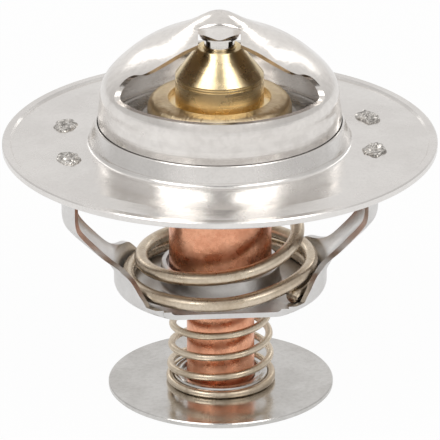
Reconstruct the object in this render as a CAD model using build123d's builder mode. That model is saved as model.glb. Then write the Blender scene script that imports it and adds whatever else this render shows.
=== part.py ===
from build123d import *
import math
import os

os.makedirs("parts", exist_ok=True)

# Engine thermostat, millimetres, +Z up, standing on its bypass disc.
# Origin: middle of the bypass disc's underside. The flange lies level.

# Driving sizes
FLANGE_R = 33.5
FLANGE_TOP = 41.0
SHEET = 0.8
HALF_SHEET = SHEET / 2
RIM_BAND = 1.2
DISH_BAND = 3.6
RIM_DROP = 0.35
RIM_RISE = 0.3
RIM_STEP = 0.3
COLLAR_RISE = 3.1
COLLAR_GAP = 0.15
COLLAR_EDGE = 0.3
COLLAR_FOOT = 1.1
COLLAR_BEND = 0.75

SKIRT_TOP_R = 18.42
SKIRT_FLARE = 0.33
LIP_WIDTH = 2.85
LIP_BEND = 1.45
SEAT_LOW = FLANGE_TOP + 4.1
WINDOW_RIM = FLANGE_TOP + 9.42
SOCKET_R = 3.05
DOME_TOP = FLANGE_TOP + 20.95
SOCKET_MOUTH = DOME_TOP - 4.0
SOCKET_ROOF = DOME_TOP - 1.6
SLIT_HALF = SOCKET_R + 0.2
SLIT_END = 2.6
SLIT_SOFT = 0.8

PIN_R = 2.35
PIN_TOP = SOCKET_ROOF - 0.05
PIN_END = 24.6
PIN_TAPER_FROM = 31.0
PIN_POINT_R = 1.3
RUN_FIT = 0.03
LOOSE_FIT = 0.05
STACK_GAP = 0.03

PLATE_GAP = 0.18
PLATE_EDGE_TOP = FLANGE_TOP + 2.35
PLATE_TOP = FLANGE_TOP + 3.5
PLATE_FLAT_R = 12.2

CUP_R = 7.95
CUP_WALL = 0.8
CUP_STEM_R = 5.25
CUP_STEM_WALL = 0.7
CUP_FLANGE_R = 9.9
CUP_SHOULDER = 16.9
CUP_END = 0.05
STEM_FLOOR = 2.0

RING_R = 11.1
RING_HOLE_R = 7.85
RING_TOP = FLANGE_TOP + 7.1
RING_SHOULDER = 1.7
RING_WEB = 0.9

GUIDE_R = 6.8
GUIDE_CONE_BASE = FLANGE_TOP + 10.9
GUIDE_TOP = FLANGE_TOP + 15.2
GUIDE_TOP_R = 3.5
GUIDE_FLANGE = 0.95

SLEEVE_R = 3.9
SLEEVE_END = 22.4

BASE_TOP = 17.4
PAN_R = 16.5
PAN_HALF_WIDTH = 12.5
PAN_TONGUE = 0.75
PAN_TONGUE_HALF = 9.6
PAN_BEND = 1.3
GUIDE_COLLAR_R = 9.2
GUIDE_COLLAR_TOP = 20.8
ARM_TURN = 4.0
ARM_R = 24.5
ARM_BEND_Z = 27.5
HEAD_INSET = 0.6
HEAD_HALF = 8.2
TAB_OFFSET = 6.8
HEAD_DEEP = 3.0
TAB_WIDTH = 2.6
TAB_RISE = 0.3

MAIN_WIRE_R = 1.07
BYPASS_WIRE_R = 0.57

DISC_R = 17.5
DISC_THICK = 0.8
BOSS_R = 7.35
BOSS_TOP = 2.25
WEB_TOP = 1.5
WEB_UNDER = 0.75
DISC_HOLE_R = CUP_STEM_R + 0.15

CLIP_IN_R = 4.8
CLIP_OUT_R = 6.4
CLIP_LOW = 0.32
CLIP_HIGH = 0.70

FLANGE_UNDER = FLANGE_TOP - SHEET
RIM_R = FLANGE_R - RIM_BAND
FLAT_R = RIM_R - DISH_BAND
SKIRT_R = SKIRT_TOP_R + SKIRT_FLARE
LIP_R = SKIRT_R + LIP_WIDTH
COLLAR_R = SKIRT_R + COLLAR_GAP + COLLAR_FOOT
COLLAR_TOP = FLANGE_TOP + COLLAR_RISE
HEAD_R = ARM_R - HEAD_INSET
PLATE_R = SKIRT_R - SHEET - PLATE_GAP


# 1 Flange: pressed ring with an upturned collar round the dome's foot
collar_in_r = SKIRT_R + COLLAR_GAP
collar_edge_r = collar_in_r + COLLAR_EDGE
bend_out = COLLAR_BEND + 0.95
dish_low = FLANGE_TOP - RIM_DROP
rim_top = dish_low + RIM_RISE
rim_low = FLANGE_UNDER - RIM_DROP
edge_soft = 0.18
with BuildPart() as flange:
    with BuildSketch(Plane.XZ) as flange_profile:
        with BuildLine():
            Line((collar_in_r, FLANGE_UNDER + bend_out), (collar_in_r, COLLAR_TOP))
            Line((collar_in_r, COLLAR_TOP), (collar_edge_r - 0.1, COLLAR_TOP))
            Line((collar_edge_r - 0.1, COLLAR_TOP), (collar_edge_r, COLLAR_TOP - 0.1))
            Line((collar_edge_r, COLLAR_TOP - 0.1), (COLLAR_R, FLANGE_TOP + COLLAR_BEND))
            RadiusArc((COLLAR_R, FLANGE_TOP + COLLAR_BEND), (COLLAR_R + COLLAR_BEND, FLANGE_TOP),
                      -COLLAR_BEND)
            Line((COLLAR_R + COLLAR_BEND, FLANGE_TOP), (FLAT_R, FLANGE_TOP))
            # The dished band slopes down to a step, and the rim stands up outside it
            Polyline((FLAT_R, FLANGE_TOP), (RIM_R - RIM_STEP, dish_low), (RIM_R, rim_top),
                     (FLANGE_R - edge_soft, rim_top), (FLANGE_R, rim_top - edge_soft),
                     (FLANGE_R, rim_low + edge_soft), (FLANGE_R - edge_soft, rim_low),
                     (RIM_R, rim_low), (FLAT_R, FLANGE_UNDER))
            Line((FLAT_R, FLANGE_UNDER), (collar_in_r + bend_out, FLANGE_UNDER))
            RadiusArc((collar_in_r + bend_out, FLANGE_UNDER), (collar_in_r, FLANGE_UNDER + bend_out),
                      bend_out)
        make_face()
    revolve(axis=Axis.Z)
    # Four slots for the stirrup's tabs
    with BuildSketch(Plane.XY.offset(FLANGE_UNDER - 1)) as flange_slots:
        for side in (0, 180):
            for hand in (-1, 1):
                with Locations(Location((0, 0, 0), (0, 0, side + ARM_TURN))):
                    with Locations((HEAD_R - HALF_SHEET, hand * TAB_OFFSET)):
                        Rectangle(SHEET + 2 * LOOSE_FIT, TAB_WIDTH + 2 * LOOSE_FIT)
    extrude(amount=SHEET + 2, mode=Mode.SUBTRACT)
flange.part.label = "flange"
export_step(flange.part, "parts/flange.step")


# 2 Bridge dome: skirt through the collar, two windows, arched strap and pin socket
# Outer line of the drawn dome: share of the way out, and drop from the top
peak_line = [(0.33, 0.11), (0.52, 0.30), (0.69, 0.53), (0.85, 0.82)]
dome_line = [(0.003, 1.11), (0.049, 1.555), (0.101, 2.06), (0.211, 2.98), (0.316, 3.78), (0.426, 4.57),
             (0.537, 5.45), (0.641, 6.48), (0.725, 7.50), (0.797, 8.48), (0.862, 9.45),
             (0.914, 10.35), (0.953, 11.15), (0.979, 11.95), (0.994, 12.85), (1.0, 13.85)]
dome_span = SKIRT_TOP_R - SOCKET_R
peak = [(u * SOCKET_R, DOME_TOP - drop) for u, drop in peak_line]
dome_out = [(SOCKET_R + u * dome_span, DOME_TOP - drop) for u, drop in dome_line]
skirt_top = dome_out[-1][1]
shoulder = (dome_out[3][0] - dome_out[1][0], dome_out[3][1] - dome_out[1][1])
dome_back = []
for i in range(len(dome_out) - 1, 1, -1):
    a = dome_out[i - 1]
    b = dome_out[min(i + 1, len(dome_out) - 1)]
    run = math.hypot(b[0] - a[0], b[1] - a[1])
    dome_back.append((dome_out[i][0] + SHEET * (b[1] - a[1]) / run,
                      dome_out[i][1] - SHEET * (b[0] - a[0]) / run))
dome_back[0] = (SKIRT_TOP_R - SHEET, skirt_top)
socket_in_r = PIN_R + LOOSE_FIT
lip_top = FLANGE_UNDER - LOOSE_FIT
lip_low = lip_top - SHEET
skirt_in = SKIRT_R - SHEET


def dome_height(r):
    # Height of the dome's outer face at a radius
    for a, b in zip(dome_out, dome_out[1:]):
        if a[0] <= r <= b[0]:
            return a[1] + (b[1] - a[1]) * (r - a[0]) / (b[0] - a[0])
    return WINDOW_RIM


# Window edge: share of the way out and half width of the strap there, then round the corner
strap_shape = [(0.016, 5.95), (0.094, 6.25), (0.198, 6.75), (0.296, 7.38), (0.394, 7.8), (0.485, 7.93),
               (0.566, 7.65), (0.634, 6.75), (0.680, 6.3), (0.745, 6.1), (0.790, 6.35), (0.820, 6.7),
               (0.838, 7.2), (0.832, 8.2), (0.784, 9.6), (0.73, 11.0)]
punch_far = 1.8 * SKIRT_TOP_R
punch_near = 1.0
punch_edge = []
for u, y in strap_shape:
    x = SOCKET_R + u * dome_span
    z = max(dome_height(math.hypot(x, y)), WINDOW_RIM + 0.02)
    punch_edge.append((x * punch_far / y, (z - WINDOW_RIM) * punch_far / y))

with BuildPart() as punch:
    # The windows are punched towards the dome's middle, so the cut edge is square to the sheet
    for reach in (punch_far, punch_near):
        with BuildSketch(Plane.XZ.offset(reach)):
            with BuildLine():
                scale = reach / punch_far
                right = [(x * scale, WINDOW_RIM + z * scale) for x, z in punch_edge]
                left = [(-x, z) for x, z in right]
                foot = right[-1][0] * 0.9
                Line(left[0], right[0])
                Spline(*right)
                Polyline(right[-1], (foot, WINDOW_RIM), (-foot, WINDOW_RIM), left[-1])
                Spline(*left[::-1])
            make_face()
    loft(ruled=True)

with BuildPart() as bridge_dome:
    with BuildSketch(Plane.XZ) as dome_profile:
        with BuildLine():
            Line((0, SOCKET_ROOF), (0, DOME_TOP))
            Spline((0, DOME_TOP), *peak, *dome_out[:3], tangents=((1, 0), shoulder))
            Spline(*dome_out[2:], tangents=(shoulder, (0, -1)))
            Spline((SKIRT_TOP_R, skirt_top), (SKIRT_R, SEAT_LOW), tangents=((0, -1), (0, -1)))
            Line((SKIRT_R, SEAT_LOW), (SKIRT_R, lip_top + LIP_BEND))
            RadiusArc((SKIRT_R, lip_top + LIP_BEND), (SKIRT_R + LIP_BEND, lip_top), -LIP_BEND)
            Polyline((SKIRT_R + LIP_BEND, lip_top), (LIP_R, lip_top), (LIP_R, lip_low),
                     (skirt_in + 2.0, lip_low))
            RadiusArc((skirt_in + 2.0, lip_low), (skirt_in, lip_low + 2.0), 2.0)
            Line((skirt_in, lip_low + 2.0), (skirt_in, SEAT_LOW))
            Spline((skirt_in, SEAT_LOW), (SKIRT_TOP_R - SHEET, skirt_top), tangents=((0, 1), (0, 1)))
            Spline(*dome_back, tangents=((0, 1), (-0.87, 0.49)))
            RadiusArc(dome_back[-1], (SOCKET_R, DOME_TOP - 3.75), -1.1)
            Polyline((SOCKET_R, DOME_TOP - 3.75), (SOCKET_R, SOCKET_MOUTH), (socket_in_r, SOCKET_MOUTH),
                     (socket_in_r, SOCKET_ROOF - 0.5), (socket_in_r - 0.5, SOCKET_ROOF),
                     (0, SOCKET_ROOF))
        make_face()
    revolve(axis=Axis.Z)
    add(punch.part, mode=Mode.SUBTRACT)
    add(punch.part, rotation=(0, 0, 180), mode=Mode.SUBTRACT)
    # The strap is cut away in front of the socket and behind it
    with BuildSketch(Plane.XY.offset(SOCKET_MOUTH - 1)) as socket_notches:
        for side in (-1, 1):
            with BuildLine():
                ThreePointArc((-SLIT_HALF, side * SLIT_END), (0, side * (SOCKET_R + 0.03)),
                              (SLIT_HALF, side * SLIT_END))
                Polyline((SLIT_HALF, side * SLIT_END), (SLIT_HALF, side * 9), (-SLIT_HALF, side * 9),
                         (-SLIT_HALF, side * SLIT_END))
            make_face()
    extrude(amount=6, mode=Mode.SUBTRACT)
    # The dome rolls over softly into the socket's open front and back
    notch_tops = [edge for edge in bridge_dome.edges()
                  if abs(edge.center().X) < HALF_SHEET and SLIT_END < abs(edge.center().Y) < SLIT_HALF
                  and edge.center().Z > SOCKET_ROOF - 1]
    fillet(notch_tops, SLIT_SOFT)
bridge_dome.part.label = "bridge_dome"
export_step(bridge_dome.part, "parts/bridge_dome.step")


# 3 Piston pin: fixed in the socket, tapered where it works in the rubber sleeve
with BuildPart() as piston_pin:
    with BuildSketch(Plane.XZ) as pin_profile:
        with BuildLine():
            Polyline((0, PIN_END), (PIN_POINT_R - 0.3, PIN_END), (PIN_POINT_R, PIN_END + 0.4),
                     (PIN_R, PIN_TAPER_FROM), (PIN_R, PIN_TOP - 0.4), (PIN_R - 0.4, PIN_TOP),
                     (0, PIN_TOP), (0, PIN_END))
        make_face()
    revolve(axis=Axis.Z)
piston_pin.part.label = "piston_pin"
export_step(piston_pin.part, "parts/piston_pin.step")


# 4 Valve plate: dished steel ring whose edge closes against the skirt
with BuildPart() as valve_plate:
    with BuildSketch(Plane.XZ) as plate_profile:
        with BuildLine():
            Polyline((CUP_R + 0.1, PLATE_TOP), (PLATE_FLAT_R, PLATE_TOP),
                     (PLATE_R - 0.9, PLATE_EDGE_TOP), (PLATE_R - 0.25, PLATE_EDGE_TOP),
                     (PLATE_R, PLATE_EDGE_TOP - 0.25), (PLATE_R, PLATE_EDGE_TOP - SHEET),
                     (PLATE_R - 0.9, PLATE_EDGE_TOP - SHEET), (PLATE_FLAT_R, PLATE_TOP - SHEET),
                     (CUP_R + 0.1, PLATE_TOP - SHEET), (CUP_R + 0.1, PLATE_TOP))
        make_face()
    revolve(axis=Axis.Z)
valve_plate.part.label = "valve_plate"
export_step(valve_plate.part, "parts/valve_plate.step")


# Stack inside the crimp ring, from the plate up
cup_flange_low = PLATE_TOP + STACK_GAP
cup_flange_top = cup_flange_low + CUP_WALL
bead_low = cup_flange_top + STACK_GAP
bead_top = bead_low + 0.8
guide_low = bead_top + STACK_GAP
guide_flange_top = guide_low + GUIDE_FLANGE
ring_web_low = guide_flange_top + STACK_GAP
ring_low = PLATE_TOP + STACK_GAP

# 5 Crimp ring: brass, rolled over the guide's and the cup's flanges
with BuildPart() as crimp_ring:
    with BuildSketch(Plane.XZ) as ring_profile:
        with BuildLine():
            ring_bore = CUP_FLANGE_R + LOOSE_FIT
            Line((ring_bore, ring_low), (RING_R - 0.3, ring_low))
            Line((RING_R - 0.3, ring_low), (RING_R, ring_low + 0.3))
            Line((RING_R, ring_low + 0.3), (RING_R, RING_TOP - RING_SHOULDER))
            RadiusArc((RING_R, RING_TOP - RING_SHOULDER), (RING_R - RING_SHOULDER, RING_TOP),
                      -RING_SHOULDER)
            Line((RING_R - RING_SHOULDER, RING_TOP), (RING_HOLE_R + 0.25, RING_TOP))
            RadiusArc((RING_HOLE_R + 0.25, RING_TOP), (RING_HOLE_R, RING_TOP - 0.25), -0.25)
            Line((RING_HOLE_R, RING_TOP - 0.25), (RING_HOLE_R, ring_web_low))
            Line((RING_HOLE_R, ring_web_low), (ring_bore, ring_web_low))
            Line((ring_bore, ring_web_low), (ring_bore, ring_low))
        make_face()
    revolve(axis=Axis.Z)
crimp_ring.part.label = "crimp_ring"
export_step(crimp_ring.part, "parts/crimp_ring.step")


# 6 Guide: turned brass with a cone on top, bored for the pin
with BuildPart() as guide_cone:
    with BuildSketch(Plane.XZ) as guide_profile:
        with BuildLine():
            bore = PIN_R + RUN_FIT
            g1 = GUIDE_CONE_BASE - 0.45
            g2 = GUIDE_CONE_BASE - 0.85
            Polyline((bore, guide_low + 0.6), (bore, GUIDE_TOP - 0.25), (bore + 0.25, GUIDE_TOP),
                     (GUIDE_TOP_R - 0.15, GUIDE_TOP), (GUIDE_TOP_R, GUIDE_TOP - 0.15),
                     (GUIDE_R - 0.1, GUIDE_CONE_BASE), (GUIDE_R, GUIDE_CONE_BASE - 0.15),
                     (GUIDE_R, g1 + 0.1), (GUIDE_R - 0.12, g1), (GUIDE_R, g1 - 0.1),
                     (GUIDE_R, g2 + 0.1), (GUIDE_R - 0.12, g2), (GUIDE_R, g2 - 0.1),
                     (GUIDE_R, guide_flange_top), (CUP_FLANGE_R, guide_flange_top),
                     (CUP_FLANGE_R, guide_low), (4.6, guide_low), (4.6, guide_low + 0.6),
                     (bore, guide_low + 0.6))
        make_face()
    revolve(axis=Axis.Z)
guide_cone.part.label = "guide_cone"
export_step(guide_cone.part, "parts/guide_cone.step")


# 7 Sleeve washer: hard ring that keeps the rubber out of the guide's bore
with BuildPart() as sleeve_washer:
    with BuildSketch(Plane.XY.offset(bead_top + STACK_GAP)) as washer_plan:
        Circle(4.6 - LOOSE_FIT)
        Circle(PIN_R + RUN_FIT, mode=Mode.SUBTRACT)
    extrude(amount=0.6 - STACK_GAP)
sleeve_washer.part.label = "sleeve_washer"
export_step(sleeve_washer.part, "parts/sleeve_washer.step")


# 8 Rubber sleeve: closed boot round the pin, its head clamped under the guide
with BuildPart() as rubber_sleeve:
    with BuildSketch(Plane.XZ) as sleeve_profile:
        with BuildLine():
            sb = PIN_R + RUN_FIT
            Polyline((sb, bead_top), (CUP_FLANGE_R, bead_top), (CUP_FLANGE_R, bead_low),
                     (SLEEVE_R + 0.6, bead_low), (SLEEVE_R, bead_low - 0.6), (SLEEVE_R, 27.0),
                     (SLEEVE_R - 0.8, SLEEVE_END), (0, SLEEVE_END), (0, PIN_END - 0.05),
                     (PIN_POINT_R - 0.25, PIN_END - 0.05), (PIN_POINT_R + 0.06, PIN_END + 0.38),
                     (sb, PIN_TAPER_FROM - 0.1), (sb, bead_top))
        make_face()
    revolve(axis=Axis.Z)
rubber_sleeve.part.label = "rubber_sleeve"
export_step(rubber_sleeve.part, "parts/rubber_sleeve.step")


# 9 Wax cup: drawn copper, wide body and narrower stem with a clip groove
cup_in_r = CUP_R - CUP_WALL
stem_in_r = CUP_STEM_R - CUP_STEM_WALL
with BuildPart() as wax_cup:
    with BuildSketch(Plane.XZ) as cup_profile:
        with BuildLine():
            Line((cup_in_r, cup_flange_top), (CUP_FLANGE_R, cup_flange_top))
            Line((CUP_FLANGE_R, cup_flange_top), (CUP_FLANGE_R, cup_flange_low))
            Line((CUP_FLANGE_R, cup_flange_low), (CUP_R, cup_flange_low))
            Line((CUP_R, cup_flange_low), (CUP_R, CUP_SHOULDER + 0.5))
            RadiusArc((CUP_R, CUP_SHOULDER + 0.5), (CUP_R - 0.5, CUP_SHOULDER), 0.5)
            Line((CUP_R - 0.5, CUP_SHOULDER), (CUP_STEM_R + 0.4, CUP_SHOULDER))
            Line((CUP_STEM_R + 0.4, CUP_SHOULDER), (CUP_STEM_R, CUP_SHOULDER - 0.4))
            Line((CUP_STEM_R, CUP_SHOULDER - 0.4), (CUP_STEM_R, CLIP_HIGH + 0.02))
            Line((CUP_STEM_R, CLIP_HIGH + 0.02), (CLIP_IN_R - 0.05, CLIP_HIGH + 0.02))
            Line((CLIP_IN_R - 0.05, CLIP_HIGH + 0.02), (CLIP_IN_R - 0.05, CLIP_LOW - 0.02))
            Line((CLIP_IN_R - 0.05, CLIP_LOW - 0.02), (CUP_STEM_R, CLIP_LOW - 0.02))
            Line((CUP_STEM_R, CLIP_LOW - 0.02), (CUP_STEM_R - 0.2, CUP_END))
            Line((CUP_STEM_R - 0.2, CUP_END), (0, CUP_END))
            Line((0, CUP_END), (0, STEM_FLOOR))
            Line((0, STEM_FLOOR), (stem_in_r, STEM_FLOOR))
            Line((stem_in_r, STEM_FLOOR), (stem_in_r, CUP_SHOULDER + CUP_WALL))
            Line((stem_in_r, CUP_SHOULDER + CUP_WALL), (cup_in_r, CUP_SHOULDER + CUP_WALL + 0.4))
            Line((cup_in_r, CUP_SHOULDER + CUP_WALL + 0.4), (cup_in_r, cup_flange_top))
        make_face()
    revolve(axis=Axis.Z)
wax_cup.part.label = "wax_cup"
export_step(wax_cup.part, "parts/wax_cup.step")


# 10 Wax charge: fills the cup round the sleeve
wf = LOOSE_FIT
with BuildPart() as wax_charge:
    with BuildSketch(Plane.XZ) as wax_profile:
        with BuildLine():
            Polyline((SLEEVE_R + wf, bead_low - 0.9), (cup_in_r - wf, bead_low - 0.9),
                     (cup_in_r - wf, CUP_SHOULDER + CUP_WALL + 0.4 + wf),
                     (stem_in_r - wf, CUP_SHOULDER + CUP_WALL + wf),
                     (stem_in_r - wf, STEM_FLOOR + wf), (0, STEM_FLOOR + wf),
                     (0, SLEEVE_END - wf), (SLEEVE_R - 0.8 + wf, SLEEVE_END - wf),
                     (SLEEVE_R + wf, 27.0), (SLEEVE_R + wf, bead_low - 0.9))
        make_face()
    revolve(axis=Axis.Z)
wax_charge.part.label = "wax_charge"
export_step(wax_charge.part, "parts/wax_charge.step")


# 11 Lower frame, the stirrup: pan with a guide collar, two arms and four staked tabs
def arm_slice(z, r_out, depth, sag, half):
    # Four edges of one level slice of the arm: outer arc, end, inner arc, end
    ang = math.atan2(2 * sag * half, half * half - sag * sag)
    end_out = (r_out - sag, half)
    end_in = (r_out - sag - depth * math.cos(ang), half - depth * math.sin(ang))
    return z, (r_out, 0), end_out, (r_out - depth, 0), end_in


def read_track(track, column, at):
    # Smooth value between the listed stations, with no overshoot
    for k in range(len(track) - 1):
        if track[k][0] <= at <= track[k + 1][0]:
            step = track[k + 1][0] - track[k][0]
            t = (at - track[k][0]) / step
            slope = (track[k + 1][column] - track[k][column]) / step
            before = slope
            after = slope
            if k > 0:
                before = ((track[k][column] - track[k - 1][column])
                          / (track[k][0] - track[k - 1][0]))
            if k + 2 < len(track):
                after = ((track[k + 2][column] - track[k + 1][column])
                         / (track[k + 2][0] - track[k + 1][0]))
            m1 = 2 * before * slope / (before + slope) if before * slope > 0 else 0.0
            m2 = 2 * after * slope / (after + slope) if after * slope > 0 else 0.0
            h1 = 2 * t ** 3 - 3 * t ** 2 + 1
            h2 = t ** 3 - 2 * t ** 2 + t
            h3 = -2 * t ** 3 + 3 * t ** 2
            h4 = t ** 3 - t ** 2
            return (h1 * track[k][column] + h2 * m1 * step + h3 * track[k + 1][column]
                    + h4 * m2 * step)
    return track[-1][column]


# Wall and arm stations: height, share of the way out, level depth of the sheet, sag, half width
arm_reach = ARM_R - PAN_R
base_low = BASE_TOP - SHEET
wall_low = base_low + PAN_BEND
head_low = FLANGE_UNDER - LOOSE_FIT - HEAD_DEEP
root_half = 11.1
root_sag = PAN_R - math.sqrt(PAN_R ** 2 - root_half ** 2)
arm_track = [(wall_low, 0.0, SHEET, root_sag, root_half), (18.65, 0.0, SHEET, 3.85, 10.6),
             (19.7, 0.005, SHEET, 3.12, 9.6), (20.4, 0.03, 0.82, 2.85, 8.9),
             (21.05, 0.08, 0.9, 2.7, 8.15), (21.35, 0.105, 0.95, 2.45, 7.5),
             (21.6, 0.13, 1.0, 2.1, 6.5), (21.85, 0.16, 1.03, 1.73, 5.5),
             (22.15, 0.21, 1.07, 1.39, 4.7), (22.5, 0.27, 1.1, 1.17, 4.2),
             (22.9, 0.335, 1.12, 1.05, 3.9), (23.5, 0.42, 1.14, 1.02, 3.72),
             (25.2, 0.66, 1.14, 1.35, 3.75), (ARM_BEND_Z - 0.6, 0.875, 1.06, 1.65, 3.9),
             (ARM_BEND_Z + 0.6, 0.97, 0.9, 1.8, 4.0), (ARM_BEND_Z + 2.0, 1.0, SHEET, 1.86, 4.0),
             (head_low - 3.8, 1.0, SHEET, 1.86, 4.05), (head_low - 2.4, 0.992, SHEET, 1.6, 4.9),
             (head_low - 1.0, 0.955, SHEET, 0.75, 7.2), (head_low, 0.93, SHEET, 0.16, HEAD_HALF)]
wall_count = 18
arm_count = 16
wall_high = 23.5
levels = [wall_low + (wall_high - wall_low) * k / wall_count for k in range(wall_count)]
levels += [wall_high + (head_low - wall_high) * k / arm_count for k in range(arm_count + 1)]
arm_steps = []
for level in levels:
    arm_steps.append(arm_slice(level, PAN_R + arm_reach * read_track(arm_track, 1, level),
                               read_track(arm_track, 2, level), read_track(arm_track, 3, level),
                               read_track(arm_track, 4, level)))

with BuildPart() as arm:
    for z, a, b, c, d in arm_steps:
        with BuildSketch(Plane.XY.offset(z)):
            with BuildLine():
                ThreePointArc((b[0], b[1]), a, (b[0], -b[1]))
                Line((b[0], -b[1]), (d[0], -d[1]))
                ThreePointArc((d[0], -d[1]), c, (d[0], d[1]))
                Line((d[0], d[1]), (b[0], b[1]))
            make_face()
    loft()

with BuildPart() as arm_head:
    with BuildSketch(Plane.XY.offset(head_low)):
        with Locations((HEAD_R - HALF_SHEET, 0)):
            Rectangle(SHEET, 2 * HEAD_HALF)
    extrude(amount=HEAD_DEEP)
    with BuildSketch(Plane.XY.offset(FLANGE_UNDER - LOOSE_FIT)):
        with Locations((HEAD_R - HALF_SHEET, TAB_OFFSET), (HEAD_R - HALF_SHEET, -TAB_OFFSET)):
            Rectangle(SHEET, TAB_WIDTH)
    extrude(amount=SHEET + LOOSE_FIT + TAB_RISE)
    # Staked heads, spread a little over the slot
    with BuildSketch(Plane.XY.offset(FLANGE_TOP + 0.02)):
        with Locations((HEAD_R - HALF_SHEET, TAB_OFFSET), (HEAD_R - HALF_SHEET, -TAB_OFFSET)):
            RectangleRounded(SHEET + 0.5, TAB_WIDTH + 0.6, 0.5)
    extrude(amount=TAB_RISE - 0.02)

with BuildPart() as stirrup:
    with BuildSketch(Plane.XZ) as pan_profile:
        with BuildLine():
            collar_in = GUIDE_COLLAR_R - SHEET
            pan_in = PAN_R - SHEET
            Line((collar_in + 0.9, base_low), (PAN_R - PAN_BEND, base_low))
            RadiusArc((PAN_R - PAN_BEND, base_low), (PAN_R, wall_low), -PAN_BEND)
            Line((PAN_R, wall_low), (pan_in, wall_low))
            RadiusArc((pan_in, wall_low), (PAN_R - PAN_BEND, BASE_TOP), PAN_BEND - SHEET)
            Line((PAN_R - PAN_BEND, BASE_TOP), (GUIDE_COLLAR_R + 0.5, BASE_TOP))
            RadiusArc((GUIDE_COLLAR_R + 0.5, BASE_TOP), (GUIDE_COLLAR_R, BASE_TOP + 0.5), 0.5)
            Line((GUIDE_COLLAR_R, BASE_TOP + 0.5), (GUIDE_COLLAR_R, GUIDE_COLLAR_TOP - 0.2))
            Line((GUIDE_COLLAR_R, GUIDE_COLLAR_TOP - 0.2), (GUIDE_COLLAR_R - 0.2, GUIDE_COLLAR_TOP))
            Line((GUIDE_COLLAR_R - 0.2, GUIDE_COLLAR_TOP), (collar_in, GUIDE_COLLAR_TOP))
            Line((collar_in, GUIDE_COLLAR_TOP), (collar_in, base_low + 0.9))
            RadiusArc((collar_in, base_low + 0.9), (collar_in + 0.9, base_low), -0.9)
        make_face()
    revolve(axis=Axis.Z)
    # Straight cuts front and back with a tongue in the middle of each
    with BuildSketch() as pan_plan:
        Rectangle(4 * PAN_R, 2 * PAN_HALF_WIDTH)
        Rectangle(2 * PAN_TONGUE_HALF, 2 * (PAN_HALF_WIDTH + PAN_TONGUE))
    extrude(amount=2 * BASE_TOP, mode=Mode.INTERSECT)
    add(arm.part)
    add(arm.part, rotation=(0, 0, 180))
    add(arm_head.part)
    add(arm_head.part, rotation=(0, 0, 180))

with BuildPart() as lower_frame:
    add(stirrup.part, rotation=(0, 0, ARM_TURN))
lower_frame.part.label = "lower_frame"
export_step(lower_frame.part, "parts/lower_frame.step")


# 12 Springs: wire swept along a coil given by turn angle, height and coil radius
def coil_points(track, start_deg, step_deg, lean):
    count = int(round(track[-1][0] / step_deg))
    low = track[0][1]
    high = track[-1][1]
    points = []
    for k in range(count + 1):
        deg = track[-1][0] * k / count
        z = read_track(track, 1, deg)
        r = read_track(track, 2, deg)
        a = math.radians(start_deg + deg)
        points.append((r * math.cos(a) + lean * (z - low) / (high - low), r * math.sin(a), z))
    return points


main_low = BASE_TOP + MAIN_WIRE_R + 0.03
main_high = PLATE_TOP - SHEET - MAIN_WIRE_R - 0.02
main_track = [(0, main_low, 14.25), (200, main_low + 0.1, 14.25), (310, main_low + 0.85, 14.25),
              (360, main_low + 2.2, 14.2), (400, main_low + 2.5, 14.1), (490, main_low + 2.62, 13.15),
              (580, main_low + 2.8, 12.25), (670, main_low + 4.35, 12.1), (760, main_low + 7.5, 11.97),
              (940, main_low + 13.7, 11.85), (1120, main_low + 20.0, 11.7),
              (1240, main_high, 11.5), (1500, main_high, 11.4)]
with BuildPart() as main_spring:
    with BuildLine() as main_path:
        Spline(*coil_points(main_track, -40, 24, 0.0))
    with BuildSketch(Plane(origin=main_path.line @ 0, z_dir=main_path.line % 0)) as main_wire:
        Circle(MAIN_WIRE_R)
    sweep(is_frenet=True)
main_spring.part.label = "main_spring"
export_step(main_spring.part, "parts/main_spring.step")

bypass_low = DISC_THICK + BYPASS_WIRE_R + 0.03
bypass_high = CUP_SHOULDER - BYPASS_WIRE_R - 0.02
bypass_track = [(0, bypass_low, 7.93), (60, bypass_low + 0.05, 7.93), (400, bypass_low + 2.96, 7.75),
                (760, bypass_low + 6.22, 7.58), (1120, bypass_low + 9.7, 7.4),
                (1480, bypass_low + 13.1, 7.2), (1680, bypass_high, 7.03), (1850, bypass_high, 7.0)]
with BuildPart() as bypass_spring:
    with BuildLine() as bypass_path:
        Spline(*coil_points(bypass_track, -130, 24, 0.0))
    with BuildSketch(Plane(origin=bypass_path.line @ 0, z_dir=bypass_path.line % 0)) as bypass_wire:
        Circle(BYPASS_WIRE_R)
    sweep(is_frenet=True)
bypass_spring.part.label = "bypass_spring"
export_step(bypass_spring.part, "parts/bypass_spring.step")


# 13 Bypass disc: pressed disc with a raised boss that centres the small spring
with BuildPart() as bypass_disc:
    with BuildSketch(Plane.XZ) as disc_profile:
        with BuildLine():
            Polyline((DISC_R - 0.15, 0), (DISC_R, 0.15), (DISC_R, DISC_THICK - 0.15),
                     (DISC_R - 0.15, DISC_THICK), (BOSS_R, DISC_THICK), (BOSS_R, BOSS_TOP - 0.35),
                     (BOSS_R - 0.1, BOSS_TOP - 0.1), (BOSS_R - 0.35, BOSS_TOP),
                     (BOSS_R - 0.9, BOSS_TOP), (BOSS_R - 1.15, BOSS_TOP - 0.1),
                     (BOSS_R - 1.35, WEB_TOP), (DISC_HOLE_R, WEB_TOP), (DISC_HOLE_R, WEB_UNDER),
                     (BOSS_R - 0.75, WEB_UNDER), (BOSS_R - 0.75, 0), (DISC_R - 0.15, 0))
        make_face()
    revolve(axis=Axis.Z)
bypass_disc.part.label = "bypass_disc"
export_step(bypass_disc.part, "parts/bypass_disc.step")


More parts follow.
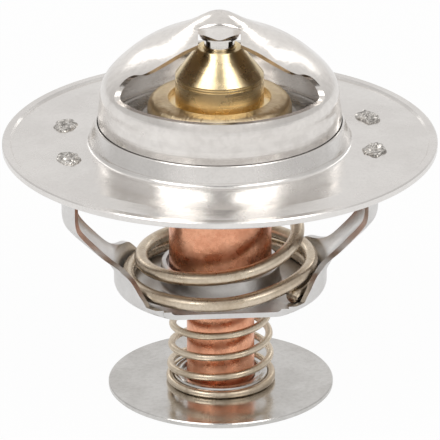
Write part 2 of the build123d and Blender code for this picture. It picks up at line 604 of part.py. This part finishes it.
# 14 Retaining ring: open spring ring in the stem's groove, under the disc's web
with BuildPart() as retaining_ring:
    with BuildSketch(Plane.XY.offset(CLIP_LOW)) as clip_plan:
        Circle(CLIP_OUT_R)
        Circle(CLIP_IN_R, mode=Mode.SUBTRACT)
        with Locations((0, 5.5)):
            Rectangle(2.4, 4.0, mode=Mode.SUBTRACT)
    extrude(amount=CLIP_HIGH - CLIP_LOW)
retaining_ring.part.label = "retaining_ring"
export_step(retaining_ring.part, "parts/retaining_ring.step")
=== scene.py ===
import math

import bmesh
import bpy
from mathutils import Matrix, Vector, noise


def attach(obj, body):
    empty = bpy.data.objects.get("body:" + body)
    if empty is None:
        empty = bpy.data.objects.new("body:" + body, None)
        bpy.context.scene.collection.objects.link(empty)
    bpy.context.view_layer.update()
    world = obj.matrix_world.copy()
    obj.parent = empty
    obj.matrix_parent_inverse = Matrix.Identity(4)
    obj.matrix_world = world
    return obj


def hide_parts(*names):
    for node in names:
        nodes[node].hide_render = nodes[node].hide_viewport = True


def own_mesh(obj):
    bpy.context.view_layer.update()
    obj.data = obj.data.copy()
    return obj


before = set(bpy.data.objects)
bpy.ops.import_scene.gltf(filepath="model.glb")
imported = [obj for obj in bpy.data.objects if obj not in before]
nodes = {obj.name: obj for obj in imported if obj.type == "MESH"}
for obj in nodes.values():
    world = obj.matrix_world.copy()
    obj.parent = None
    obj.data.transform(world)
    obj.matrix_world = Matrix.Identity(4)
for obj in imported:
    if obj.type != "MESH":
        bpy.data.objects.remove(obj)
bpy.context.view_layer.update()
MM = 0.001


# Node groups shared by the metals

CLOUD_EDGE = (0.38, 0.64)
CLOUD_SHARE = 0.65
FLECK_EDGE = (0.40, 0.66)
FLECK_SHARE = 0.35
TICK_LENGTH_SCALE = 25.0


def new_group(name, inputs, outputs):
    group = bpy.data.node_groups.new(name, "ShaderNodeTree")
    for socket_name, kind, value in inputs:
        socket = group.interface.new_socket(socket_name, in_out="INPUT", socket_type=kind)
        if value is not None:
            socket.default_value = value
    for socket_name, kind in outputs:
        group.interface.new_socket(socket_name, in_out="OUTPUT", socket_type=kind)
    return group, group.nodes.new("NodeGroupInput"), group.nodes.new("NodeGroupOutput")


def math_node(tree, operation, a, b=None):
    node = tree.nodes.new("ShaderNodeMath")
    node.operation = operation
    for index, value in enumerate((a, b)):
        if value is None:
            continue
        if isinstance(value, (int, float)):
            node.inputs[index].default_value = value
        else:
            tree.links.new(value, node.inputs[index])
    return node.outputs[0]


def noise_node(tree, vector, scale, detail=3.0, rough=0.5):
    node = tree.nodes.new("ShaderNodeTexNoise")
    node.inputs["Detail"].default_value = detail
    node.inputs["Roughness"].default_value = rough
    if isinstance(scale, (int, float)):
        node.inputs["Scale"].default_value = scale
    else:
        tree.links.new(scale, node.inputs["Scale"])
    tree.links.new(vector, node.inputs["Vector"])
    return node.outputs["Fac"]


def remap(tree, value, low_in, high_in, low_out, high_out):
    node = tree.nodes.new("ShaderNodeMapRange")
    node.interpolation_type = "SMOOTHSTEP"
    tree.links.new(value, node.inputs["Value"])
    for name, number in (("From Min", low_in), ("From Max", high_in),
                         ("To Min", low_out), ("To Max", high_out)):
        node.inputs[name].default_value = number
    return node.outputs["Result"]


def axis_radius(tree, split):
    # Distance from the part's upright axis
    xx = math_node(tree, "MULTIPLY", split.outputs["X"], split.outputs["X"])
    yy = math_node(tree, "MULTIPLY", split.outputs["Y"], split.outputs["Y"])
    return math_node(tree, "SQRT", math_node(tree, "ADD", xx, yy))


def bump_node(tree, height, distance, under=None):
    node = tree.nodes.new("ShaderNodeBump")
    node.inputs["Strength"].default_value = 1.0
    node.inputs["Distance"].default_value = distance * MM
    tree.links.new(height, node.inputs["Height"])
    if under is not None:
        tree.links.new(under, node.inputs["Normal"])
    return node.outputs["Normal"]


def make_stain_group():
    # Cloudy change of colour over a metal, with a finer fleck on top
    group, given, out = new_group(
        "metal_stain",
        [("Vector", "NodeSocketVector", None), ("Clean", "NodeSocketColor", (0.8, 0.8, 0.8, 1)),
         ("Stained", "NodeSocketColor", (0.6, 0.6, 0.6, 1)), ("Cloud Scale", "NodeSocketFloat", 300.0),
         ("Fleck Scale", "NodeSocketFloat", 2500.0), ("Amount", "NodeSocketFloat", 0.5)],
        [("Color", "NodeSocketColor")])
    cloud = noise_node(group, given.outputs["Vector"], given.outputs["Cloud Scale"], 4.0, 0.6)
    fleck = noise_node(group, given.outputs["Vector"], given.outputs["Fleck Scale"], 2.0, 0.6)
    cloud = remap(group, cloud, *CLOUD_EDGE, 0.0, 1.0)
    fleck = remap(group, fleck, *FLECK_EDGE, 0.0, 1.0)
    both = math_node(group, "MULTIPLY_ADD", fleck, FLECK_SHARE)
    group.links.new(math_node(group, "MULTIPLY", cloud, CLOUD_SHARE), both.node.inputs[2])
    mask = math_node(group, "MULTIPLY", both, given.outputs["Amount"])
    mix = group.nodes.new("ShaderNodeMix")
    mix.data_type = "RGBA"
    group.links.new(mask, mix.inputs["Factor"])
    group.links.new(given.outputs["Clean"], mix.inputs["A"])
    group.links.new(given.outputs["Stained"], mix.inputs["B"])
    group.links.new(mix.outputs["Result"], out.inputs["Color"])
    return group


def make_lathe_group():
    # Fine rings round the part's axis, as a lathe tool or a spinning cloth leaves them
    group, given, out = new_group(
        "lathe_rings",
        [("Vector", "NodeSocketVector", None), ("Ring Scale", "NodeSocketFloat", 4000.0),
         ("Slope", "NodeSocketFloat", 1.0)],
        [("Height", "NodeSocketFloat")])
    split = group.nodes.new("ShaderNodeSeparateXYZ")
    group.links.new(given.outputs["Vector"], split.inputs[0])
    along = math_node(group, "MULTIPLY", split.outputs["Z"], given.outputs["Slope"])
    place = math_node(group, "ADD", axis_radius(group, split), along)
    line = group.nodes.new("ShaderNodeCombineXYZ")
    group.links.new(place, line.inputs["X"])
    rings = noise_node(group, line.outputs[0], given.outputs["Ring Scale"], 3.0, 0.7)
    group.links.new(rings, out.inputs["Height"])
    return group


def make_rolled_group():
    # Long straight lines of rolled sheet, along X, with a softer waviness under them
    group, given, out = new_group(
        "rolled_lines",
        [("Vector", "NodeSocketVector", None), ("Line Scale", "NodeSocketFloat", 3000.0),
         ("Stretch", "NodeSocketFloat", 0.05)],
        [("Height", "NodeSocketFloat")])
    split = group.nodes.new("ShaderNodeSeparateXYZ")
    group.links.new(given.outputs["Vector"], split.inputs[0])
    join = group.nodes.new("ShaderNodeCombineXYZ")
    group.links.new(math_node(group, "MULTIPLY", split.outputs["X"], given.outputs["Stretch"]),
                    join.inputs["X"])
    group.links.new(split.outputs["Y"], join.inputs["Y"])
    group.links.new(split.outputs["Z"], join.inputs["Z"])
    lines = noise_node(group, join.outputs[0], given.outputs["Line Scale"], 3.0, 0.65)
    group.links.new(lines, out.inputs["Height"])
    return group


def make_ticks_group():
    # Short radial ticks left by the crimping tool
    group, given, out = new_group(
        "crimp_ticks",
        [("Vector", "NodeSocketVector", None), ("Tick Scale", "NodeSocketFloat", 30.0)],
        [("Height", "NodeSocketFloat")])
    split = group.nodes.new("ShaderNodeSeparateXYZ")
    group.links.new(given.outputs["Vector"], split.inputs[0])
    angle = math_node(group, "ARCTAN2", split.outputs["Y"], split.outputs["X"])
    length = math_node(group, "MULTIPLY", axis_radius(group, split), TICK_LENGTH_SCALE)
    wrapped = group.nodes.new("ShaderNodeCombineXYZ")
    group.links.new(angle, wrapped.inputs["X"])
    group.links.new(length, wrapped.inputs["Y"])
    ticks = noise_node(group, wrapped.outputs[0], given.outputs["Tick Scale"], 1.0, 0.5)
    group.links.new(ticks, out.inputs["Height"])
    return group


stain_group = make_stain_group()
ticks_group = make_ticks_group()
lathe_group = make_lathe_group()
rolled_group = make_rolled_group()


def place_group(tree, group, vector, **values):
    node = tree.nodes.new("ShaderNodeGroup")
    node.node_tree = group
    tree.links.new(vector, node.inputs["Vector"])
    for name, value in values.items():
        node.inputs[name.replace("_", " ")].default_value = value
    return node


# Materials: bump heights are in millimetres, noise scales are per metre

# Range of the normal's Z over which downward-facing surfaces take painted shade
PAINTED_SHADE_FACING = (-0.35, -0.10)
WANDER_SCALE = 1.7
WANDER_EDGE = (0.3, 0.7)
GRAIN_SCALE = 1400.0
MATT_CLOUD_SCALE = 400.0
MATT_FLECK_SCALE = 3000.0
MATT_STAIN = 0.6
MATT_GRAIN_SCALE = 2200.0
MATT_GRAIN_BUMP = 0.01


def metal(name, clean, stained, rough_low, rough_high, amount=0.5, cloud=300.0, fleck=2500.0,
          lines="rolled", line_scale=3000.0, line_bump=0.02, grain_bump=0.015, slope=1.0,
          stretch=0.05, dent=0.0, dent_scale=120.0, painted_underside_shade=None):
    made = bpy.data.materials.new(name)
    made.use_nodes = True
    tree = made.node_tree
    shader = tree.nodes["Principled BSDF"]
    shader.inputs["Metallic"].default_value = 1.0
    texture_place = tree.nodes.new("ShaderNodeTexCoord")
    coords = texture_place.outputs["Object"]
    stain = place_group(tree, stain_group, coords, Clean=(*clean, 1), Stained=(*stained, 1),
                        Cloud_Scale=cloud, Fleck_Scale=fleck, Amount=amount)
    colour = stain.outputs["Color"]
    if painted_underside_shade:
        # Painted shade: surfaces that face down, inside the dome, get a darker colour
        facing = tree.nodes.new("ShaderNodeSeparateXYZ")
        tree.links.new(texture_place.outputs["Normal"], facing.inputs[0])
        under = remap(tree, facing.outputs["Z"], *PAINTED_SHADE_FACING, 1.0, 0.0)
        painted_shade_mix = tree.nodes.new("ShaderNodeMix")
        painted_shade_mix.data_type = "RGBA"
        painted_shade_mix.inputs["B"].default_value = (*painted_underside_shade, 1)
        tree.links.new(under, painted_shade_mix.inputs["Factor"])
        tree.links.new(colour, painted_shade_mix.inputs["A"])
        colour = painted_shade_mix.outputs["Result"]
    tree.links.new(colour, shader.inputs["Base Color"])
    wander = noise_node(tree, coords, cloud * WANDER_SCALE, 4.0, 0.6)
    rough = remap(tree, wander, *WANDER_EDGE, rough_low, rough_high)
    tree.links.new(rough, shader.inputs["Roughness"])
    if lines == "ticks":
        drawn = place_group(tree, ticks_group, coords, Tick_Scale=line_scale)
    elif lines == "lathe":
        drawn = place_group(tree, lathe_group, coords, Ring_Scale=line_scale, Slope=slope)
    else:
        drawn = place_group(tree, rolled_group, coords, Line_Scale=line_scale, Stretch=stretch)
    normal = bump_node(tree, drawn.outputs["Height"], line_bump)
    grain = noise_node(tree, coords, GRAIN_SCALE, 3.0, 0.6)
    normal = bump_node(tree, grain, grain_bump, normal)
    if dent:
        dents = noise_node(tree, coords, dent_scale, 2.0, 0.5)
        normal = bump_node(tree, dents, dent, normal)
    tree.links.new(normal, shader.inputs["Normal"])
    return made


def plain(name, colour, dark, rough):
    made = bpy.data.materials.new(name)
    made.use_nodes = True
    tree = made.node_tree
    shader = tree.nodes["Principled BSDF"]
    shader.inputs["Roughness"].default_value = rough
    coords = tree.nodes.new("ShaderNodeTexCoord").outputs["Object"]
    stain = place_group(tree, stain_group, coords, Clean=(*colour, 1), Stained=(*dark, 1),
                        Cloud_Scale=MATT_CLOUD_SCALE, Fleck_Scale=MATT_FLECK_SCALE,
                        Amount=MATT_STAIN)
    tree.links.new(stain.outputs["Color"], shader.inputs["Base Color"])
    grain = noise_node(tree, coords, MATT_GRAIN_SCALE, 3.0, 0.6)
    tree.links.new(bump_node(tree, grain, MATT_GRAIN_BUMP), shader.inputs["Normal"])
    return made


flange_steel = metal("flange_steel", (0.86, 0.84, 0.82), (0.68, 0.655, 0.635), 0.13, 0.30,
                     cloud=90.0, lines="lathe", line_scale=2400.0, line_bump=0.010,
                     grain_bump=0.010, slope=0.2, dent=0.06, dent_scale=80.0)
# The dome's last colour is painted shade on its downward-facing inner surfaces
dome_steel = metal("dome_steel", (0.88, 0.85, 0.82), (0.62, 0.585, 0.555), 0.12, 0.28,
                   cloud=70.0, fleck=900.0, lines="lathe", line_scale=1700.0, line_bump=0.024,
                   grain_bump=0.010, slope=0.6, dent=0.22, painted_underside_shade=(0.46, 0.40, 0.36))
frame_steel = metal("frame_steel", (0.78, 0.77, 0.76), (0.62, 0.61, 0.60), 0.30, 0.44,
                    cloud=200.0, line_scale=2400.0, line_bump=0.016, grain_bump=0.014,
                    dent=0.06, dent_scale=180.0)
plate_steel = metal("plate_steel", (0.66, 0.64, 0.62), (0.48, 0.455, 0.43), 0.22, 0.34,
                    cloud=200.0, lines="lathe", line_bump=0.012, slope=0.3)
disc_steel = metal("disc_steel", (0.69, 0.68, 0.665), (0.50, 0.485, 0.465), 0.10, 0.22,
                   amount=0.7, cloud=150.0, fleck=1300.0, line_bump=0.010, grain_bump=0.008,
                   dent=0.03, dent_scale=110.0)
pin_steel = metal("pin_steel", (0.78, 0.76, 0.73), (0.66, 0.62, 0.58), 0.05, 0.12, amount=0.4,
                  lines="lathe", line_scale=5000.0, line_bump=0.004, grain_bump=0.002)
wire_steel = metal("wire_steel", (0.74, 0.64, 0.51), (0.45, 0.35, 0.24), 0.22, 0.36, amount=0.65,
                   cloud=160.0, fleck=1800.0, line_scale=2600.0, line_bump=0.010, stretch=0.4,
                   grain_bump=0.012)
# The near-black second colour paints shade into the peened heads' dents and the gap round them
peened_steel_painted_shade = metal("peened_steel_painted_shade", (0.82, 0.79, 0.75), (0.14, 0.13, 0.12), 0.10, 0.28,
                     amount=1.0, cloud=1300.0, fleck=3500.0, line_scale=2600.0,
                     grain_bump=0.06, dent=0.20, dent_scale=900.0)
turned_brass = metal("turned_brass", (0.97, 0.80, 0.50), (0.82, 0.63, 0.36), 0.22, 0.34,
                     cloud=180.0, lines="lathe", line_scale=2600.0, line_bump=0.060,
                     grain_bump=0.010)
pressed_brass = metal("pressed_brass", (0.93, 0.77, 0.52), (0.70, 0.53, 0.34), 0.28, 0.42,
                      amount=0.6, cloud=220.0, lines="ticks", line_scale=34.0, line_bump=0.16,
                      grain_bump=0.03, dent=0.08, dent_scale=260.0)
cup_copper = metal("cup_copper", (0.95, 0.49, 0.31), (0.68, 0.28, 0.16), 0.20, 0.38, amount=0.75,
                   cloud=230.0, fleck=1500.0, lines="lathe", line_scale=1800.0, line_bump=0.014,
                   grain_bump=0.03)
sleeve_rubber = plain("sleeve_rubber", (0.035, 0.034, 0.033), (0.02, 0.02, 0.02), 0.6)
washer_white = plain("washer_white", (0.80, 0.79, 0.76), (0.70, 0.68, 0.64), 0.45)
copper_wax = plain("copper_wax", (0.50, 0.33, 0.22), (0.38, 0.24, 0.16), 0.6)

for node_name, finish in (
        ("flange", flange_steel), ("bridge_dome", dome_steel), ("lower_frame", frame_steel),
        ("valve_plate", plate_steel), ("bypass_disc", disc_steel), ("piston_pin", pin_steel),
        ("main_spring", wire_steel), ("bypass_spring", wire_steel), ("retaining_ring", wire_steel),
        ("guide_cone", turned_brass), ("crimp_ring", pressed_brass), ("wax_cup", cup_copper),
        ("rubber_sleeve", sleeve_rubber), ("sleeve_washer", washer_white),
        ("wax_charge", copper_wax)):
    for material_slot in nodes[node_name].material_slots:
        material_slot.material = finish


# Springs: the CAD coils again, as pieces that ride on their bodies

MERGE_GAP = 0.000001
SHARP_ANGLE = math.radians(40)
WIRE_SIDES = 24
TURN_STEPS = 120

END_TURN_RADIUS = 7.93
END_TURN_WIRE = 0.57
END_TURN_HEIGHT = 1.40


def closed_turn(coil, radius, wire, height):
    # The closed turn that a wound spring ends in
    centre = (radius, 0, height)
    upright = Matrix.Translation(centre) @ Matrix.Rotation(math.radians(90), 4, "X")
    circle = bmesh.ops.create_circle(coil, segments=WIRE_SIDES, radius=wire, matrix=upright)
    section = circle["verts"]
    edges = []
    for vert in section:
        edges += [edge for edge in vert.link_edges if edge not in edges]
    bmesh.ops.spin(coil, geom=section + edges, cent=(0, 0, height), axis=(0, 0, 1),
                   angle=math.radians(360), steps=TURN_STEPS, use_merge=True)


def spring_coil(name, node, body, end_turn=None):
    coil = bmesh.new()
    coil.from_mesh(nodes[node].data)
    bmesh.ops.remove_doubles(coil, verts=coil.verts, dist=MERGE_GAP)
    if end_turn:
        closed_turn(coil, *end_turn)
        bmesh.ops.recalc_face_normals(coil, faces=coil.faces)
    for face in coil.faces:
        face.smooth = True
    mesh = bpy.data.meshes.new(name)
    coil.to_mesh(mesh)
    coil.free()
    mesh.set_sharp_from_angle(angle=SHARP_ANGLE)
    mesh.materials.append(wire_steel)
    made = bpy.data.objects.new(name, mesh)
    bpy.context.scene.collection.objects.link(made)
    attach(made, body)
    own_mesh(made)
    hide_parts(node)


spring_coil("main_coil", "main_spring", "frame")
spring_coil("bypass_coil", "bypass_spring", "element",
            end_turn=(END_TURN_RADIUS * MM, END_TURN_WIRE * MM, END_TURN_HEIGHT * MM))


# Peened heads of the stirrup's tabs, where they are staked over the flange

HEAD_HALF_SIZE = (0.00175, 0.00245, 0.00070)
HEAD_HEIGHT = 0.04105
CHIP_SCALE = 1500
WAVE_SCALE = 1900
EDGE_SCALE = 900
EDGE_ACROSS = 0.30
EDGE_ALONG = 0.22
HEAD_LEVEL = 0.75
WAVE_RISE = 0.45
CHIP_RISE = 0.35
BLUNTING = 0.35
SHIFT_STEP = (3.7, 1.3, 2.1)
HEADS = (("stake_left_back", -23.9, 5.6), ("stake_left_front", -23.05, -8.0),
         ("stake_right_back", 22.95, 8.5), ("stake_right_front", 23.75, -5.05))


def stake_mark(name, place, turn, seed):
    lump = bmesh.new()
    bmesh.ops.create_icosphere(lump, subdivisions=4, radius=1.0)
    bmesh.ops.scale(lump, verts=lump.verts, vec=HEAD_HALF_SIZE)
    shift = Vector([seed * step for step in SHIFT_STEP])
    for vert in lump.verts:
        chips = noise.cell(vert.co * CHIP_SCALE + shift)
        waves = noise.noise(vert.co * WAVE_SCALE + shift)
        edge = noise.noise(Vector((vert.co.x, vert.co.y, 0)) * EDGE_SCALE + shift)
        vert.co.x *= 1.0 + EDGE_ACROSS * edge
        vert.co.y *= 1.0 + EDGE_ALONG * edge
        vert.co.z *= HEAD_LEVEL + WAVE_RISE * waves + CHIP_RISE * chips
    bmesh.ops.smooth_vert(lump, verts=lump.verts, factor=BLUNTING, use_axis_x=True,
                          use_axis_y=True, use_axis_z=True)
    bmesh.ops.rotate(lump, verts=lump.verts, matrix=Matrix.Rotation(turn, 3, "Z"))
    bmesh.ops.translate(lump, verts=lump.verts, vec=place)
    bmesh.ops.recalc_face_normals(lump, faces=lump.faces)
    mesh = bpy.data.meshes.new(name)
    lump.to_mesh(mesh)
    lump.free()
    mesh.materials.append(peened_steel_painted_shade)
    made = bpy.data.objects.new(name, mesh)
    bpy.context.scene.collection.objects.link(made)
    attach(made, "frame")


for seed, (name, x, y) in enumerate(HEADS, start=1):
    stake_mark(name, (x * MM, y * MM, HEAD_HEIGHT), math.atan2(y, x), seed)


# Floor, world, lamps and camera

FLOOR_HALF_SIZE = 4.0
FLOOR_HEIGHT = -0.00002
FLOOR_WHITE = 0.92
FLOOR_SEEN = 0.96
FLOOR_MIRRORED = 0.62

ROOM_SIDE = (0.35, 0.90)
ROOM_SIDE_LEVEL = (0.80, 0.60)
CAMERA_SIDE = (-0.60, -0.15)
CAMERA_SIDE_DIMMING = 0.45
RAISED = (0.40, 0.70)
ROOM_LIGHT = 0.45
WARM_WHITE = (1, 0.985, 0.97)
LAMP_WHITE = (1, 0.985, 0.96)

AIM_HEIGHT = 0.035
# Name, azimuth, elevation, distance, width, height and watts
LAMPS = (("left_softbox", -45, 48, 0.85, 0.48, 0.56, 2.0),
         ("right_softbox", 44, 48, 0.85, 0.40, 0.56, 1.7),
         ("left_back_strip", -149, 30, 0.90, 0.14, 0.50, 0.29),
         ("right_back_strip", 147, 28, 0.90, 0.12, 0.45, 0.23))

CAMERA_ELEVATION = math.radians(22.65)
CAMERA_ROLL = math.radians(-0.236)
CAMERA_TARGET = Vector((-0.00002, 0, 0.02746))
LENS_PIXELS = 6470.5
PHOTO_WIDTH = 440.0
SENSOR_WIDTH = 36.0
NEAREST = 0.05
FARTHEST = 50.0


def make_floor():
    mesh = bpy.data.meshes.new("floor")
    sheet = bmesh.new()
    bmesh.ops.create_grid(sheet, x_segments=1, y_segments=1, size=FLOOR_HALF_SIZE)
    bmesh.ops.translate(sheet, verts=sheet.verts, vec=(0, 0, FLOOR_HEIGHT))
    sheet.to_mesh(mesh)
    sheet.free()
    floor = bpy.data.objects.new("floor", mesh)
    bpy.context.scene.collection.objects.link(floor)
    paint = bpy.data.materials.new("floor_white")
    paint.use_nodes = True
    tree = paint.node_tree
    tree.nodes.clear()
    out = tree.nodes.new("ShaderNodeOutputMaterial")
    matt = tree.nodes.new("ShaderNodeBsdfDiffuse")
    matt.inputs["Color"].default_value = (FLOOR_WHITE, FLOOR_WHITE, FLOOR_WHITE, 1)
    glow = tree.nodes.new("ShaderNodeEmission")
    glow.inputs["Color"].default_value = (1, 1, 1, 1)
    glow.inputs["Strength"].default_value = 1.0
    path = tree.nodes.new("ShaderNodeLightPath")
    seen = math_node(tree, "MULTIPLY", path.outputs["Is Camera Ray"], FLOOR_SEEN)
    mirrored = math_node(tree, "MULTIPLY", path.outputs["Is Glossy Ray"], FLOOR_MIRRORED)
    share = math_node(tree, "MAXIMUM", seen, mirrored)
    mix = tree.nodes.new("ShaderNodeMixShader")
    tree.links.new(share, mix.inputs[0])
    tree.links.new(matt.outputs[0], mix.inputs[1])
    tree.links.new(glow.outputs[0], mix.inputs[2])
    tree.links.new(mix.outputs[0], out.inputs["Surface"])
    mesh.materials.append(paint)


def make_world():
    world = bpy.data.worlds.new("studio")
    bpy.context.scene.world = world
    world.use_nodes = True
    tree = world.node_tree
    ground = tree.nodes["Background"]
    path = tree.nodes.new("ShaderNodeLightPath")
    coords = tree.nodes.new("ShaderNodeTexCoord")
    split = tree.nodes.new("ShaderNodeSeparateXYZ")
    tree.links.new(coords.outputs["Generated"], split.inputs[0])
    side = math_node(tree, "ABSOLUTE", split.outputs["X"])
    side_level = remap(tree, side, *ROOM_SIDE, *ROOM_SIDE_LEVEL)
    # The dark camera side of the room shows between the two softboxes
    camera_side = remap(tree, split.outputs["Y"], *CAMERA_SIDE, CAMERA_SIDE_DIMMING, 0.0)
    raised = remap(tree, split.outputs["Z"], *RAISED, 0.0, 1.0)
    dimming = math_node(tree, "MULTIPLY", camera_side, raised)
    room = math_node(tree, "SUBTRACT", side_level, dimming)
    camera_mix = tree.nodes.new("ShaderNodeMix")
    tree.links.new(path.outputs["Is Camera Ray"], camera_mix.inputs["Factor"])
    glossy_mix = tree.nodes.new("ShaderNodeMix")
    tree.links.new(path.outputs["Is Glossy Ray"], glossy_mix.inputs["Factor"])
    glossy_mix.inputs["A"].default_value = ROOM_LIGHT
    tree.links.new(room, glossy_mix.inputs["B"])
    tree.links.new(glossy_mix.outputs["Result"], camera_mix.inputs["A"])
    camera_mix.inputs["B"].default_value = 1.0
    tree.links.new(camera_mix.outputs["Result"], ground.inputs["Strength"])
    ground.inputs["Color"].default_value = (*WARM_WHITE, 1)


def softbox(name, place, width, height, watts):
    lamp = bpy.data.lights.new(name, "AREA")
    lamp.shape = "RECTANGLE"
    lamp.size, lamp.size_y = width, height
    lamp.energy = watts
    lamp.color = LAMP_WHITE
    made = bpy.data.objects.new(name, lamp)
    bpy.context.scene.collection.objects.link(made)
    made.location = place
    aim = Vector((0, 0, AIM_HEIGHT)) - Vector(place)
    made.rotation_euler = aim.to_track_quat("-Z", "Y").to_euler()


def around(azimuth, elevation, distance):
    # Azimuth 0 is the camera's side, positive to the right
    a = math.radians(azimuth)
    e = math.radians(elevation)
    return (distance * math.cos(e) * math.sin(a), -distance * math.cos(e) * math.cos(a),
            AIM_HEIGHT + distance * math.sin(e))


def make_camera():
    eye = bpy.data.cameras.new("camera")
    made = bpy.data.objects.new("camera", eye)
    bpy.context.scene.collection.objects.link(made)
    # The camera stands one metre from its target
    back = Vector((0, -math.cos(CAMERA_ELEVATION), math.sin(CAMERA_ELEVATION)))
    made.location = CAMERA_TARGET + back
    look = (CAMERA_TARGET - made.location).to_track_quat("-Z", "Y").to_matrix().to_4x4()
    roll = Matrix.Rotation(CAMERA_ROLL, 4, "Z")
    made.matrix_world = Matrix.Translation(made.location) @ look @ roll
    eye.sensor_fit = "HORIZONTAL"
    eye.sensor_width = SENSOR_WIDTH
    eye.lens = SENSOR_WIDTH * LENS_PIXELS / PHOTO_WIDTH
    eye.clip_start = NEAREST
    eye.clip_end = FARTHEST
    bpy.context.scene.camera = made


make_floor()
make_world()
for name, azimuth, elevation, distance, width, height, watts in LAMPS:
    softbox(name, around(azimuth, elevation, distance), width, height, watts)
make_camera()

settings = bpy.context.scene.view_settings
settings.view_transform = "Standard"
